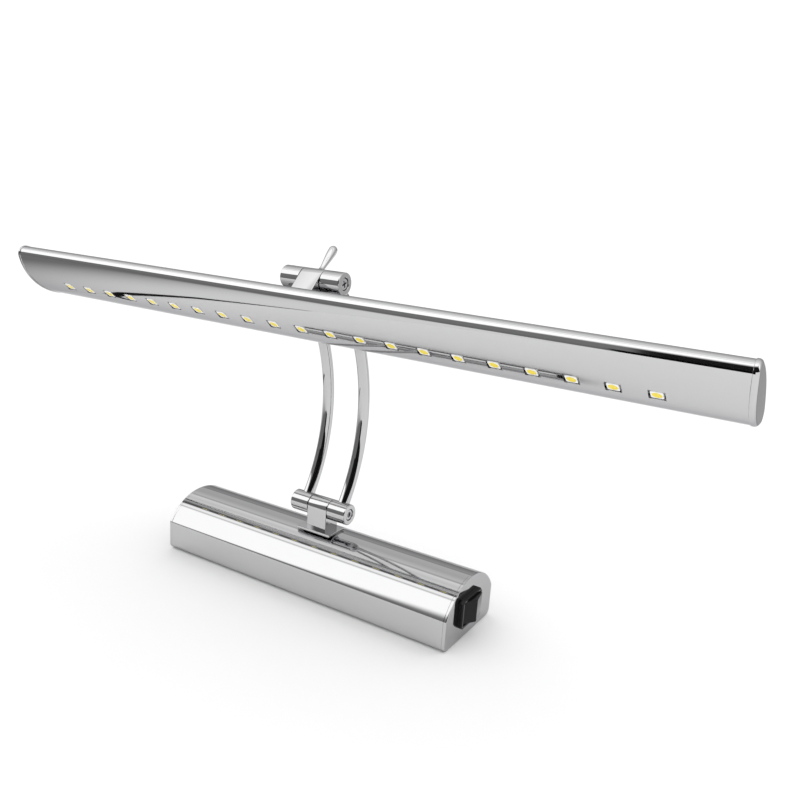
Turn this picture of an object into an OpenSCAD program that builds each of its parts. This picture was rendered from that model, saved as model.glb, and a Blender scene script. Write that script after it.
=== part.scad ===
// Picture light: a lens-shaped LED tube on a twin-rod arm, over a domed mains base.
// Frame: origin at the centre of the mounting face, X along the tube,
// +Z out of the mounting face, -Y the side that the lamp leans to.

/* [Base] */
// Length of the base over both end plates
base_l = 177; // [170:1:190]
// Depth of the base
base_w = 48.5; // [48:0.5:50]
// Height of the straight side walls
side_h = 16.2; // [15.5:0.1:17]
// Height of the dome's crown above the mounting face
base_h = 30.1; // [29.5:0.1:31]
// Wall of the cover
cover_t = 1.2; // [1:0.1:1.5]
// Thickness of an end plate
end_t = 1.5; // [1.2:0.1:2]
// Distance between the two wall screws
wall_pitch = 120; // [110:1:130]
// Radius of a wall screw's hole
wall_hole_r = 2.25; // [2:0.05:2.5]

/* [Arm] */
// Radius of every hinge barrel
barrel_r = 5.4; // [5.2:0.1:5.6]
// Half the length of a hinge, end face to middle
hinge_half = 17.2; // [17:0.1:18]
// Width of the middle knuckle
knuckle_w = 12; // [11.5:0.1:12]
// Radius of a rod
rod_r = 2.95; // [2.7:0.05:3]
// Distance of each rod from the middle
rod_x = 11.3; // [11.2:0.1:11.5]
// How far the rods bow back from a straight line
rod_bow = 23; // [22:0.5:24]
// Place of the lower hinge, depth and height
low_y = -1.5; // [-2:0.5:0]
low_z = 42.2; // [42:0.1:44]
// Place of the upper hinge, depth and height
up_y = -16.2; // [-17:0.1:-16]
up_z = 161.7; // [160:0.1:165]

/* [Head] */
// Length of the tube's shell
tube_l = 397; // [390:1:400]
// Thickness of an end cap
cap_t = 2.4; // [1.5:0.1:3]
// Number of LEDs
led_n = 21; // [3:2:21]
// Distance between LEDs
led_pitch = 16.65; // [16:0.05:17]
// Turn of the tube's broad face from level
head_tilt = 37.4; // [36:0.1:38]
// Length of the tilt lever beyond its barrel
lever_l = 15.6; // [12:0.1:18]

/* [Switch] */
// Length and height of the switch's bezel
bezel_l = 20; // [19:0.5:22]
bezel_h = 15; // [14:0.5:15]
// How far the bezel stands out of the end plate
bezel_t = 2.4; // [2.4:0.1:3]
// Tilt of the rocker to each side
rocker_tilt = 9; // [6:0.5:10]

/* [Hidden] */
fine = 96;       // facets asked for on big arcs
mid = 48;        // and on small ones
snug = 0.02;     // gap between pieces that touch
run = 0.06;      // radial clearance of a turning fit
side_gap = 0.3;  // gap beside a part that turns

// Base profile: walls, dome and rolled lower edges
dome_half = base_w / 2;
dome_r = (dome_half * dome_half + pow(base_h - side_h, 2)) / (2 * (base_h - side_h));
dome_z = base_h - dome_r;
edge_r = 3.5;
lip = 5.2;       // how far each rolled edge turns under the base
half_l = base_l / 2;

// Back plate, flush between the rolled edges
plate_t = 1.5;
plate_l = base_l - 2 * end_t - 2;
flange_h = 11;
flange_y = dome_half - cover_t - 2;
lower_part = plate_t + 0.1; // height that things standing on the plate start at
cover_screw_x = 60;
cover_screw_z = 8;
inlet_x = 40;
inlet_r = 3.5;
grommet_r = 6;

// Hinge hardware
pin_r = 1.5;
head_r = 2.8;
head_t = 2.4;
nut_t = 2.4;
washer_r = 4.2;
washer_t = 0.75;
washer_sink = 0.6;
barrel_x0 = knuckle_w / 2 + side_gap;
barrel_l = hinge_half - barrel_x0;
socket_in = 2.3;  // a rod ends this far from a hinge axis
socket_dir = 4.5; // a socket points at the rod's centre this far from its axis
socket_fit = 0.06;
rod_bore = 1.9;
lead_r = 0.9;

// Hinge foot, its clamp plate and screws
foot_x = 10.5;
foot_front = 8;
foot_back = 6;
foot_top = base_h + 1.3;
foot_pad = 8;      // half length of the pad that fits the dome
foot_screw_x = 4.2;
tapped_r = 1.5;
clear_r = 1.65;
clamp_x = 9;
clamp_y = 5;
clamp_t = 1.5;
clamp_top = dome_z + sqrt(pow(dome_r - cover_t, 2) - pow(clamp_y - low_y, 2)) - 0.05;

// Rod arc through both hinge axes
chord = norm([up_y - low_y, up_z - low_z]);
chord_a = atan2(up_z - low_z, up_y - low_y);
arc_r = (chord * chord / 4 + rod_bow * rod_bow) / (2 * rod_bow);
arc_y = (low_y + up_y) / 2 + (rod_bow - arc_r) * sin(chord_a);
arc_z = (low_z + up_z) / 2 - (rod_bow - arc_r) * cos(chord_a);
low_a = atan2(low_z - arc_z, low_y - arc_y);
up_a = atan2(up_z - arc_z, up_y - arc_y);

// Tube profile: two arcs that meet in rounded tips, in the tube's own plane.
// The first axis runs along its chord, the second out of the lit face.
tube_y = -16.85;
tube_z = 144.6;
tip_c = 16.55;
tip_r = 4.25;
tip_step = 0.02;  // how far the rounded tips stand through the arcs
front_b = 10.1;
back_b = 7.2;
tube_t = 1.1;
cap_over = 0.5;   // how far a cap stands round the tube
cap_plug = 3;
led_u = -3.5;     // place of the LED row across the lit face
window_x = 6.6;
window_u = 5.6;
led_size = 5;
led_top = 9.75;   // height of the LED faces above the chord
led_t = 1.6;
board_t = 0.6;
board_w = 5.4;
spread_t = 2;
spread_w = 10;
spread_l = tube_l - 2 * cap_plug - 1;
board_z = led_top - led_t - board_t;  // underside of the LED board above the chord
phosphor_r = 2.05;

// Head knuckle, whose post leans a little from square to the tube
lean = 6.8;
lever_in = 3.2;    // the lever's thread starts this far from the axis
lever_thread_r = 1.2;
saddle_in = 10.6;  // the saddle's flat side lies this far from the axis
knuckle_up = 90 - head_tilt - lean;  // direction of the lever in Y-Z
knuckle_in = 11;  // reach of the knuckle's post below its axis

// Switch, centred on the right end plate
sw_y = -2.2;
sw_z = 14.8;
body_l = 18.8;
body_h = 12.8;
body_t = 17;
pit_l = 16.8;
pit_h = 12;
pivot_x = half_l + 1.2;
rocker_r = 8.2;
rocker_out = 4.1;  // ridge across the rocker's middle, beyond its pivot
rocker_low = 0.6;  // and its ends
rocker_h = 11.6;
axle_r = 1;

// Driver and terminal block, on the back plate
driver_x = -54;
driver_l = 44;
driver_w = 26;
driver_h = 17;
case_t = 1.6;
block_x = 12;
block_l = 16;
block_w = 26;
block_h = 10;
blade_x = 65;      // where the switch's terminals end
wire_z = 7;
wire_ys = [sw_y - 4.5, sw_y + 4.5];

function arc_k(b) = (tip_c * tip_c - pow(b - tip_r, 2)) / (2 * (b - tip_r));

// ---- shared shapes ----

// A Y-Z outline carried along X from x0 to x1
module along_x(x0, x1) {
  translate([x0, 0, 0]) rotate([90, 0, 90]) linear_extrude(x1 - x0) children();
}

// A round bar along X
module bar_x(x0, x1, r, y = 0, z = 0) {
  translate([x0, y, z]) rotate([0, 90, 0]) cylinder(h = x1 - x0, r = r, $fn = mid);
}

// The base's outline, shrunk by g
module base_outline(g) {
  intersection() {
    translate([0, dome_z]) circle(r = dome_r - g, $fn = 2 * fine);
    union() {
      translate([-dome_half + g, edge_r]) square([base_w - 2 * g, base_h]);
      translate([-dome_half + edge_r, g]) square([base_w - 2 * edge_r, base_h]);
      for (s = [-1, 1]) translate([s * (dome_half - edge_r), edge_r]) circle(r = edge_r - g, $fn = mid);
    }
  }
}

// The tube's outline, grown by g, in its own plane
module tube_outline(g) {
  kf = arc_k(front_b);
  kb = arc_k(back_b);
  far = 20;
  intersection() {
    translate([0, -kf]) circle(r = kf + front_b + g, $fn = 2 * fine);
    translate([0, kb]) circle(r = kb + back_b + g, $fn = 2 * fine);
    polygon([[tip_c, 0], [tip_c + far * tip_c / kf, far], [-tip_c - far * tip_c / kf, far],
             [-tip_c, 0], [-tip_c - far * tip_c / kb, -far], [tip_c + far * tip_c / kb, -far]]);
  }
  for (s = [-1, 1]) translate([s * tip_c, 0]) circle(r = tip_r + tip_step + g, $fn = mid);
}

// Moves a shape from the tube's own plane (x, chord, out of the lit face) to its place
module in_head() {
  translate([0, tube_y, tube_z]) rotate([-head_tilt, 0, 0]) mirror([0, 0, 1]) children();
}

// A pan-head screw along -Z from its head's top at the origin
module screw(shank, r, hr, ht) {
  difference() {
    union() {
      translate([0, 0, -ht]) cylinder(h = ht, r = hr, $fn = mid);
      translate([0, 0, -ht - shank]) cylinder(h = shank + 0.01, r = r, $fn = mid);
    }
    for (a = [0, 90]) rotate([0, 0, a]) translate([-hr * 0.6, -0.35, -ht * 0.6])
      cube([hr * 1.2, 0.7, ht]);
  }
}

// ---- base ----

module base_cover() {
  color("silver") difference() {
    along_x(-half_l + end_t + snug, half_l - end_t - snug) difference() {
      base_outline(0);
      base_outline(cover_t);
      translate([-dome_half + lip, -1]) square([base_w - 2 * lip, edge_r]);
    }
    for (s = [-1, 1]) translate([s * foot_screw_x, low_y, base_h - 6])
      cylinder(h = 12, r = clear_r, $fn = mid);
    translate([0, low_y, base_h - 6]) cylinder(h = 12, r = 2, $fn = mid);
    for (s = [-1, 1]) translate([s * cover_screw_x, dome_half - 4, cover_screw_z]) rotate([-90, 0, 0])
      cylinder(h = 8, r = clear_r, $fn = mid);
  }
}
module end_plate(s) {
  plug = 2;
  color("silver") difference() {
    union() {
      along_x(s > 0 ? half_l - end_t : -half_l, s > 0 ? half_l : -half_l + end_t) base_outline(0);
      along_x(s > 0 ? half_l - end_t - plug : -half_l + end_t,
              s > 0 ? half_l - end_t : -half_l + end_t + plug)
        difference() {
          base_outline(cover_t + snug);
          base_outline(cover_t + 1.2);
          translate([-dome_half, -1]) square([base_w, edge_r + 1.2]);
        }
    }
    if (s > 0) translate([half_l - 6, sw_y - body_l / 2 - snug, sw_z - body_h / 2 - snug])
      cube([12, body_l + 2 * snug, body_h + 2 * snug]);
  }
}

module left_end_plate() {
  end_plate(-1);
}

module right_end_plate() {
  end_plate(1);
}

module back_plate() {
  w = 2 * (dome_half - lip) - 0.2;
  color("gainsboro") difference() {
    union() {
      translate([-plate_l / 2, -w / 2, 0]) cube([plate_l, w, plate_t]);
      for (s = [-1, 1]) {
        translate([-plate_l / 2, s > 0 ? w / 2 - 2 : -flange_y, cover_t + 0.1])
          cube([plate_l, flange_y - w / 2 + 2, plate_t]);
        translate([-plate_l / 2, s > 0 ? flange_y - plate_t : -flange_y, cover_t + 0.1])
          cube([plate_l, plate_t, flange_h]);
      }
    }
    for (s = [-1, 1]) {
      translate([s * wall_pitch / 2, 0, -1]) cylinder(h = 6, r = wall_hole_r, $fn = mid);
      translate([s * cover_screw_x, dome_half - 6, cover_screw_z]) rotate([-90, 0, 0])
        cylinder(h = 8, r = tapped_r, $fn = mid);
    }
    translate([inlet_x, 0, -1]) cylinder(h = 6, r = grommet_r - 1, $fn = mid);
  }
}

module cover_screws() {
  color("silver") for (s = [-1, 1])
    translate([s * cover_screw_x, dome_half + 1.6 + snug, cover_screw_z]) rotate([-90, 0, 0])
      screw(5, tapped_r - snug, 2.6, 1.6);
}

module cable_grommet() {
  lower = plate_t + snug;
  color("dimgray") translate([inlet_x, 0, 0]) rotate_extrude($fn = fine) difference() {
    translate([inlet_r, 0.1]) square([grommet_r - inlet_r, 4.4]);
    translate([grommet_r - 1 - snug, -1]) square([4, lower + 1]);
  }
}

// Foot plate, post and the pad that follows the dome
module hinge_foot() {
  color("silver") difference() {
    union() {
      translate([-foot_x, low_y - foot_front, base_h + snug])
        cube([2 * foot_x, foot_front + foot_back, foot_top - base_h - snug]);
      translate([-foot_pad, low_y - barrel_r, base_h - 3]) cube([2 * foot_pad, 2 * barrel_r, 4]);
      translate([-knuckle_w / 2, low_y - barrel_r, base_h - 2])
        cube([knuckle_w, 2 * barrel_r, low_z - base_h + 2]);
      bar_x(-knuckle_w / 2, knuckle_w / 2, barrel_r, low_y, low_z);
    }
    bar_x(-half_l, half_l, dome_r + snug, 0, dome_z);
    bar_x(-knuckle_w, knuckle_w, pin_r + run, low_y, low_z);
    for (s = [-1, 1]) translate([s * foot_screw_x, low_y, base_h - 3])
      cylinder(h = 9, r = tapped_r, $fn = mid);
    translate([0, low_y, base_h - 3]) cylinder(h = 9, r = 1.6, $fn = mid);
  }
}

module foot_clamp_plate() {
  color("gainsboro") difference() {
    translate([-clamp_x, low_y - clamp_y, clamp_top - clamp_t]) cube([2 * clamp_x, 2 * clamp_y, clamp_t]);
    for (s = [-1, 0, 1]) translate([s * foot_screw_x, low_y, clamp_top - 3])
      cylinder(h = 6, r = clear_r, $fn = mid);
  }
}

module foot_screws() {
  ht = 1.8;
  color("silver") for (s = [-1, 1])
    translate([s * foot_screw_x, low_y, clamp_top - clamp_t - snug - ht]) rotate([180, 0, 0])
      screw(8, tapped_r - snug, 2.5, ht);
}

// An open box with a lid, which holds the board
module driver_case() {
  color("white") difference() {
    translate([driver_x, -driver_w / 2, lower_part]) cube([driver_l, driver_w, driver_h]);
    translate([driver_x + case_t, -driver_w / 2 + case_t, lower_part + case_t])
      cube([driver_l - 2 * case_t, driver_w - 2 * case_t, driver_h]);
  }
}

module driver_lid() {
  color("white") union() {
    translate([driver_x, -driver_w / 2, lower_part + driver_h + snug]) cube([driver_l, driver_w, 1.2]);
    translate([driver_x + case_t + 0.1, -driver_w / 2 + case_t + 0.1, lower_part + driver_h - 1.4])
      cube([driver_l - 2 * case_t - 0.2, driver_w - 2 * case_t - 0.2, 1.5]);
  }
}

// Circuit board on four feet, with its transformer, capacitors and coil
module driver_board() {
  z0 = lower_part + case_t + snug;
  z1 = z0 + 2.5;
  in = case_t + 0.4;
  color("seagreen") union() {
    translate([driver_x + in, -driver_w / 2 + in, z0 + 1]) cube([driver_l - 2 * in, driver_w - 2 * in, 1.5]);
    for (s = [-1, 1], t = [-1, 1]) translate([driver_x + driver_l / 2 + s * 18, t * 8, z0])
      cylinder(h = 1.2, r = 1.5, $fn = mid);
    translate([driver_x + 16, -7, z1 - 0.1]) cube([12, 14, 8.5]);
    translate([driver_x + 8, 4, z1 - 0.1]) cylinder(h = 8, r = 3, $fn = mid);
    translate([driver_x + 36, -3, z1 - 0.1]) cylinder(h = 7, r = 4, $fn = mid);
  }
}

// Two-way block with an entry at each end and screws on top
module terminal_block() {
  color("ivory") difference() {
    translate([block_x, -block_w / 2, lower_part]) cube([block_l, block_w, block_h]);
    for (y = wire_ys) {
      bar_x(block_x - 1, block_x + block_l + 1, lead_r + 0.3, y, wire_z);
      translate([block_x + block_l / 2, y, wire_z]) cylinder(h = block_h, r = 1.7, $fn = mid);
    }
  }
}

module terminal_screws() {
  color("goldenrod") for (y = wire_ys)
    translate([block_x + block_l / 2, y, lower_part + block_h - 0.3]) screw(1.6, 1.2, 1.65, 1.2);
}

// One stretch of lead from a to b, with a round end at b
module lead(a, b, r) {
  d = b - a;
  translate(a) rotate([0, acos(d[2] / norm(d)), atan2(d[1], d[0])])
    cylinder(h = norm(d), r = r, $fn = 24);
  translate(b) sphere(r = r, $fn = 24);
}

// Block to driver, block to switch, and driver to the arm
module base_leads() {
  top = base_h + 4;
  riser_x = blade_x - lead_r - snug;
  color("white") {
    for (y = wire_ys) {
      lead([block_x + 3, y, wire_z], [driver_x + driver_l + lead_r + snug, y, wire_z], lead_r);
      lead([block_x + block_l - 3, y, wire_z], [riser_x, y, wire_z], lead_r);
      lead([riser_x, y, wire_z], [riser_x, y, sw_z], lead_r);
    }
    lead([driver_x + driver_l + snug, low_y, 15], [0, low_y, 15], lead_r);
    lead([0, low_y, 15], [0, low_y, top], lead_r);
  }
}

// ---- switch ----

// A rectangle with cut corners in Y-Z, centred on the switch
module cut_rect(l, h, c) {
  translate([sw_y, sw_z]) polygon([[-l / 2 + c, -h / 2], [l / 2 - c, -h / 2], [l / 2, -h / 2 + c],
    [l / 2, h / 2 - c], [l / 2 - c, h / 2], [-l / 2 + c, h / 2], [-l / 2, h / 2 - c], [-l / 2, -h / 2 + c]]);
}

module switch_housing() {
  pit_d = 6;
  color("black") difference() {
    union() {
      along_x(half_l + snug, half_l + bezel_t) cut_rect(bezel_l, bezel_h, 1.5);
      along_x(half_l - body_t, half_l + 1) cut_rect(body_l, body_h, 0.5);
    }
    along_x(half_l - pit_d, half_l + bezel_t + 1) cut_rect(pit_l, pit_h, 0.3);
    translate([pivot_x, sw_y, sw_z - pit_h / 2 - 1.2]) cylinder(h = pit_h + 2.4, r = axle_r + run, $fn = mid);
  }
}

module switch_terminals() {
  color("goldenrod") for (y = wire_ys)
    translate([blade_x, y - 2.4, sw_z - 0.4]) cube([half_l - body_t - blade_x - snug, 4.8, 0.8]);
}

// Rocks about an upright axle; its far end stands proud at rest
module switch_rocker() {
  color("black") translate([pivot_x, sw_y, sw_z]) rotate([0, 0, -rocker_tilt]) union() {
    translate([0, 0, -rocker_h / 2]) linear_extrude(rocker_h) intersection() {
      circle(r = rocker_r, $fn = fine);
      polygon([[-3, -9], [rocker_low, -9], [rocker_out, 0], [rocker_low, 9], [-3, 9]]);
    }
    translate([0, 0, -pit_h / 2 - 1]) cylinder(h = pit_h + 2, r = axle_r, $fn = mid);
  }
}

// ---- arm ----

function on_arc(a) = [arc_y + arc_r * cos(a), arc_z + arc_r * sin(a)];
function skip(d) = 2 * asin(d / (2 * arc_r));
low_end = on_arc(low_a + skip(socket_dir));
up_end = on_arc(up_a - skip(socket_dir));
low_dir = atan2(low_end[1] - low_z, low_end[0] - low_y);
up_dir = atan2(up_end[1] - up_z, up_end[0] - up_y);

// A round bar from a hinge axis, at angle dir in Y-Z, from distance a to b
module spoke(x, y, z, dir, a, b, r) {
  translate([x, y, z]) rotate([dir - 90, 0, 0]) translate([0, 0, a])
    cylinder(h = b - a, r = r, $fn = mid);
}

// A round bar along the rod's arc, whose ends lie d from the hinge axes
module rod_solid(x, r, d) {
  translate([x, arc_y, arc_z]) rotate([90, 0, 90]) rotate([0, 0, low_a + skip(d)])
    rotate_extrude(angle = up_a - low_a - 2 * skip(d), $fn = 2 * fine)
      translate([arc_r, 0]) circle(r = r, $fn = mid);
}

module rod(x) {
  color("silver") difference() {
    rod_solid(x, rod_r, socket_in);
    rod_solid(x, rod_bore, socket_in - 0.5);
  }
}

module left_rod() {
  rod(-rod_x);
}

module right_rod() {
  rod(rod_x);
}

// An arm barrel: screw hole, washer seat inside, head or nut seat outside, rod socket
module barrel(s, y, z, dir) {
  seat = head_t + 0.4;
  color("silver") difference() {
    bar_x(s > 0 ? barrel_x0 : -hinge_half, s > 0 ? hinge_half : -barrel_x0, barrel_r, y, z);
    bar_x(-hinge_half - 1, hinge_half + 1, pin_r + snug, y, z);
    bar_x(-barrel_x0 - washer_sink, barrel_x0 + washer_sink, washer_r + 0.1, y, z);
    bar_x(s > 0 ? hinge_half - seat : -hinge_half - 1,
          s > 0 ? hinge_half + 1 : -hinge_half + seat, head_r + 0.2, y, z);
    spoke(s * rod_x, y, z, dir, socket_in - 0.1, barrel_r + 2, rod_r + socket_fit);
  }
}

module lower_left_barrel() {
  barrel(-1, low_y, low_z, low_dir);
}

module lower_right_barrel() {
  barrel(1, low_y, low_z, low_dir);
}

module upper_left_barrel() {
  barrel(-1, up_y, up_z, up_dir);
}

module upper_right_barrel() {
  barrel(1, up_y, up_z, up_dir);
}

// A cap screw right through a hinge, with a recess in its head
module pivot_screw(y, z, cross) {
  out = hinge_half - 0.4;
  color("silver") difference() {
    union() {
      bar_x(out - head_t, out, head_r, y, z);
      bar_x(-out, out - head_t + 0.1, pin_r, y, z);
    }
    if (cross) {
      for (a = [45, 135]) translate([out - 1.3, y, z]) rotate([a, 0, 0])
        translate([0, -1.8, -0.4]) cube([2, 3.6, 0.8]);
    } else {
      translate([out - 1.3, y, z]) rotate([0, 90, 0]) cylinder(h = 2, r = 1.5, $fn = 6);
    }
  }
}

module lower_pivot_screw() {
  pivot_screw(low_y, low_z, false);
}

module upper_pivot_screw() {
  pivot_screw(up_y, up_z, true);
}

module pivot_nut(y, z) {
  color("silver") difference() {
    translate([-hinge_half + 0.4, y, z]) rotate([0, 90, 0]) cylinder(h = nut_t, r = head_r + 0.1, $fn = 6);
    bar_x(-hinge_half - 1, 0, pin_r + snug, y, z);
  }
}

module lower_pivot_nut() {
  pivot_nut(low_y, low_z);
}

module upper_pivot_nut() {
  pivot_nut(up_y, up_z);
}

// Two friction washers, in seats beside the knuckle
module friction_washers(y, z) {
  color("dimgray") for (s = [-1, 1]) difference() {
    bar_x(s * (barrel_x0 + washer_sink - snug - washer_t / 2) - washer_t / 2,
          s * (barrel_x0 + washer_sink - snug - washer_t / 2) + washer_t / 2, washer_r, y, z);
    bar_x(-hinge_half, hinge_half, pin_r + snug, y, z);
  }
}

module lower_friction_washers() {
  friction_washers(low_y, low_z);
}

module upper_friction_washers() {
  friction_washers(up_y, up_z);
}

// Lead inside the right rod
module arm_lead() {
  color("white") rod_solid(rod_x, rod_bore - snug, socket_in + 0.2);
}

// ---- head ----

// Moves a shape from the knuckle's own place, lever along +Z, to the upper hinge
module in_knuckle() {
  translate([0, up_y, up_z]) rotate([knuckle_up - 90, 0, 0]) children();
}

// The tube's outline in Y-Z, where it hangs
module placed_outline(g) {
  translate([tube_y, tube_z]) rotate(-head_tilt) mirror([0, 1]) tube_outline(g);
}

module head_knuckle() {
  color("silver") difference() {
    along_x(-knuckle_w / 2, knuckle_w / 2) difference() {
      translate([up_y, up_z]) rotate(knuckle_up - 90) union() {
        circle(r = barrel_r, $fn = mid);
        translate([-barrel_r, -knuckle_in]) square([2 * barrel_r, knuckle_in]);
      }
      placed_outline(snug);
    }
    bar_x(-knuckle_w, knuckle_w, pin_r + run, up_y, up_z);
    in_knuckle() {
      translate([0, 0, lever_in]) cylinder(h = 10, r = lever_thread_r + snug, $fn = mid);
      for (s = [-1, 1]) translate([s * foot_screw_x, 0, -knuckle_in - 2])
        cylinder(h = 8, r = tapped_r, $fn = mid);
      translate([0, 0, -knuckle_in - 2]) cylinder(h = 8, r = clear_r, $fn = mid);
    }
  }
}

// Lever: threaded end, collar, thin neck, swelling to a ball end
module tilt_lever() {
  tip = 2.05;
  top = barrel_r + lever_l;
  color("silver") in_knuckle() difference() {
    union() {
      rotate_extrude($fn = mid) polygon([[0, lever_in + 0.1], [lever_thread_r, lever_in + 0.1],
        [lever_thread_r, barrel_r - 0.6], [2.5, barrel_r - 0.6], [2.5, barrel_r + 0.3],
        [1.25, barrel_r + 1.5], [1.35, barrel_r + 3], [tip, top - tip], [0, top - tip]]);
      translate([0, 0, top - tip]) sphere(r = tip, $fn = mid);
    }
    difference() {
      bar_x(-10, 10, barrel_r + snug);
      cylinder(h = 10, r = lever_thread_r, $fn = mid);
    }
  }
}

// Clamps the tube's wall to the knuckle; its flat side takes the screw heads
module knuckle_saddle() {
  color("gainsboro") difference() {
    along_x(-knuckle_w / 2 - 1, knuckle_w / 2 + 1) intersection() {
      translate([up_y, up_z]) rotate(knuckle_up - 90) translate([-4.5, -saddle_in]) square([9, 6]);
      placed_outline(-tube_t - snug);
    }
    in_knuckle() for (s = [-1, 0, 1]) translate([s * foot_screw_x, 0, -saddle_in - 1])
      cylinder(h = 8, r = clear_r, $fn = mid);
  }
}

module knuckle_screws() {
  ht = 1.8;
  color("silver") in_knuckle() for (s = [-1, 1])
    translate([s * foot_screw_x, 0, -saddle_in - snug - ht]) rotate([180, 0, 0])
      screw(5.3, tapped_r - snug, 2.4, ht);
}

module tube_shell() {
  color("silver") difference() {
    along_x(-tube_l / 2, tube_l / 2) difference() {
      placed_outline(0);
      placed_outline(-tube_t);
    }
    in_head() for (i = [0:led_n - 1])
      translate([led_x(i) - window_x / 2, led_u - window_u / 2, back_b - 2]) cube([window_x, window_u, 8]);
    in_knuckle() for (s = [-1, 0, 1]) translate([s * foot_screw_x, 0, -12])
      cylinder(h = 7, r = clear_r, $fn = mid);
  }
}

function led_x(i) = (i - (led_n - 1) / 2) * led_pitch;

module end_cap(s) {
  x0 = tube_l / 2 + snug;
  color("silver") union() {
    along_x(s > 0 ? x0 : -x0 - cap_t, s > 0 ? x0 + cap_t : -x0) placed_outline(cap_over);
    along_x(s > 0 ? x0 - cap_plug : -x0 - 0.5, s > 0 ? x0 + 0.5 : -x0 + cap_plug) difference() {
      placed_outline(-tube_t - snug);
      placed_outline(-tube_t - 1.2);
    }
  }
}

module left_end_cap() {
  end_cap(-1);
}

module right_end_cap() {
  end_cap(1);
}

module heat_spreader() {
  color("gainsboro") in_head() difference() {
    translate([-spread_l / 2, led_u - spread_w / 2, board_z - spread_t])
      cube([spread_l, spread_w, spread_t - snug]);
    translate([0, led_u, board_z - spread_t - 1]) cylinder(h = 5, r = clear_r, $fn = mid);
  }
}

module led_board() {
  color("white") in_head()
    translate([-spread_l / 2 + 2, led_u - board_w / 2, board_z]) cube([spread_l - 4, board_w, board_t]);
}

module led_packages() {
  color("white") in_head() for (i = [0:led_n - 1]) difference() {
    translate([led_x(i) - led_size / 2, led_u - led_size / 2, board_z + board_t + snug])
      cube([led_size, led_size, led_t - snug]);
    translate([led_x(i), led_u, led_top - 0.3]) cylinder(h = 1, r = phosphor_r, $fn = mid);
  }
}

module led_phosphors() {
  color("khaki") in_head() for (i = [0:led_n - 1])
    translate([led_x(i), led_u, led_top - 0.3 + snug]) cylinder(h = 0.25, r = phosphor_r - snug, $fn = mid);
}

// From the knuckle's bore down into the tube, in a sleeve along its chord, and to the board
module head_lead() {
  corner = 14;
  sleeve_r = 1.15;
  axis_u = (up_y - tube_y) * cos(head_tilt) - (up_z - tube_z) * sin(head_tilt);
  axis_v = -(up_y - tube_y) * sin(head_tilt) - (up_z - tube_z) * cos(head_tilt);
  u0 = axis_u - corner * sin(lean);
  v0 = axis_v + corner * cos(lean);
  color("white") union() {
    in_knuckle() translate([0, 0, -corner]) cylinder(h = corner - 5.2, r = lead_r, $fn = mid);
    in_head() {
      translate([0, u0 - sleeve_r, v0]) rotate([-90, 0, 0])
        cylinder(h = led_u - u0 + 2 * sleeve_r, r = sleeve_r, $fn = mid);
      translate([0, led_u, v0]) cylinder(h = board_z - v0 - snug, r = lead_r, $fn = mid);
    }
  }
}

base_cover();
left_end_plate();
right_end_plate();
back_plate();
cover_screws();
cable_grommet();
hinge_foot();
foot_clamp_plate();
foot_screws();
driver_case();
driver_lid();
driver_board();
terminal_block();
terminal_screws();
base_leads();
switch_housing();
switch_terminals();
switch_rocker();
left_rod();
right_rod();
lower_left_barrel();
lower_right_barrel();
upper_left_barrel();
upper_right_barrel();
lower_pivot_screw();
lower_pivot_nut();
lower_friction_washers();
upper_pivot_screw();
upper_pivot_nut();
upper_friction_washers();
arm_lead();
head_knuckle();
tilt_lever();
knuckle_saddle();
knuckle_screws();
tube_shell();
left_end_cap();
right_end_cap();
heat_spreader();
led_board();
led_packages();
led_phosphors();
head_lead();
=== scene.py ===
import bpy
import numpy as np
from mathutils import Matrix


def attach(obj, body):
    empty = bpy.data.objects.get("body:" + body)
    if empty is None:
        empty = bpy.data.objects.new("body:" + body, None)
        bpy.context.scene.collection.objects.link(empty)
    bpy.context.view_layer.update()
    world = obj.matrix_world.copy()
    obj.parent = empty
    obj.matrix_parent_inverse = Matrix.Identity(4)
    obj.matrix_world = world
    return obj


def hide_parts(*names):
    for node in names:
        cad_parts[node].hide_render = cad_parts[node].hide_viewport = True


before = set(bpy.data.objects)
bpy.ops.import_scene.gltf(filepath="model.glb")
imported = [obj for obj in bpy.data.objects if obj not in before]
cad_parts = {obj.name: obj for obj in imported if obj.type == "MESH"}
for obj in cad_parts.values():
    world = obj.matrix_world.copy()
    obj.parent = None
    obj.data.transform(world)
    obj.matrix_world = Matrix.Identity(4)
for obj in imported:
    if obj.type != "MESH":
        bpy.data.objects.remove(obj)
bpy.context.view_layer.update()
mm = 0.001
print("frame loaded:", len(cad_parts), "nodes")


# ---- node trees written as sums ----

class Wire:
    # One socket. Sums with it add Math nodes, such as wire * 2 or 1 - wire.
    def __init__(self, bench, socket):
        self.bench, self.socket = bench, socket

    def __add__(self, other): return self.bench.math("ADD", self, other)
    def __radd__(self, other): return self.bench.math("ADD", other, self)
    def __sub__(self, other): return self.bench.math("SUBTRACT", self, other)
    def __rsub__(self, other): return self.bench.math("SUBTRACT", other, self)
    def __mul__(self, other): return self.bench.math("MULTIPLY", self, other)
    def __rmul__(self, other): return self.bench.math("MULTIPLY", other, self)


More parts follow.
